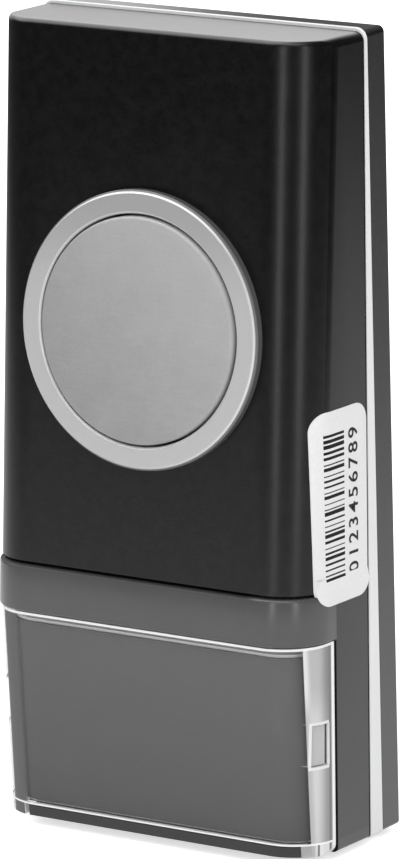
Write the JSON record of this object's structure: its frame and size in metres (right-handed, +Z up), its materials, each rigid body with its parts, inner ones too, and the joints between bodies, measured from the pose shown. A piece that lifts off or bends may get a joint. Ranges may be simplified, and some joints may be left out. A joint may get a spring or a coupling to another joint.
{
  "type": "wireless doorbell push button",
  "caption": "Slim leaning wall push with a round satin disc in a silver ring, a clear name card window and a screw-on wall plate.",
  "frame": {"origin": "centre of the wall plate's back, on the wall", "axes": "+Y goes into the wall, the button faces -Y, +Z is up, +X is to the right seen from the front"},
  "size_m": [0.0408, 0.0188, 0.0864],
  "materials": {
    "plate_black": "satin moulded, dark grey to black",
    "seal_white": "matt white",
    "board_green": "solder mask",
    "screw_steel": "zinc plated",
    "switch_black": "moulded",
    "plunger_ivory": "moulded",
    "chip_black": "matt epoxy with tinned legs",
    "can_metal": "nickel plated",
    "coil_copper": "enamelled copper wire",
    "resistor_grey": "ceramic body with tinned ends",
    "capacitor_tan": "ceramic body with tinned ends",
    "battery_jacket": "printed sleeve left plain",
    "contact_nickel": "nickel plated spring steel",
    "casing_black": "satin gloss moulded black",
    "band_grey": "satin grey",
    "tray_white": "moulded white",
    "card_grey": "plain grey card",
    "cover_clear": "clear, polished",
    "label_white": "smooth white label",
    "ring_silver": "satin, bright bevel",
    "cap_satin": "satin, turned",
    "carrier_black": "moulded",
    "silicone_grey": "translucent grey silicone",
    "retainer_black": "moulded"
  },
  "bodies": {
    "base": {"wall_plate": "plate_black", "snap_tongues": "plate_black", "seal_frame": "seal_white", "circuit_board": "board_green", "board_screws": "screw_steel", "switch_body": "switch_black", "encoder_chip": "chip_black", "resonator_can": "can_metal", "antenna_coil": "coil_copper", "chip_resistors": "resistor_grey", "chip_capacitors": "capacitor_tan", "battery": "battery_jacket", "plus_contact": "contact_nickel", "minus_contact": "contact_nickel", "minus_spring": "contact_nickel"},
    "front": {"front_casing": "casing_black", "trim_band": "band_grey", "card_tray": "tray_white", "cover_catches": "tray_white", "name_card": "card_grey", "side_label": "label_white", "button_ring": "ring_silver", "rubber_membrane": "silicone_grey", "membrane_retainer": "retainer_black", "retainer_screws": "screw_steel"},
    "cover": {"window_cover": "cover_clear"},
    "button": {"button_cap": "cap_satin", "cap_carrier": "carrier_black"},
    "plunger": {"switch_plunger": "plunger_ivory"}
  },
  "joints": [
    {"name": "front_pull_off", "type": "slide", "parent": "base", "child": "front", "axis": [0, -1, 0], "range_m": [0, 0.025], "deforming": ["snap_tongues"]},
    {"name": "cover_pull_off", "type": "slide", "parent": "front", "child": "cover", "axis": [0, -0.9998, 0.021], "range_m": [0, 0.018], "deforming": ["cover_catches"]},
    {"name": "button_press", "type": "slide", "parent": "front", "child": "button", "axis": [0, 0.9972, -0.0743], "range_m": [0, 0.0008], "stiffness_N_per_m": 1500, "deforming": ["rubber_membrane"]},
    {"name": "switch_press", "type": "slide", "parent": "base", "child": "plunger", "axis": [0, 1, 0], "range_m": [0, 0.00025]}
  ],
  "couplings": [
    {"joint": "switch_press", "follows": "button_press", "ratio": 0.3125}
  ]
}
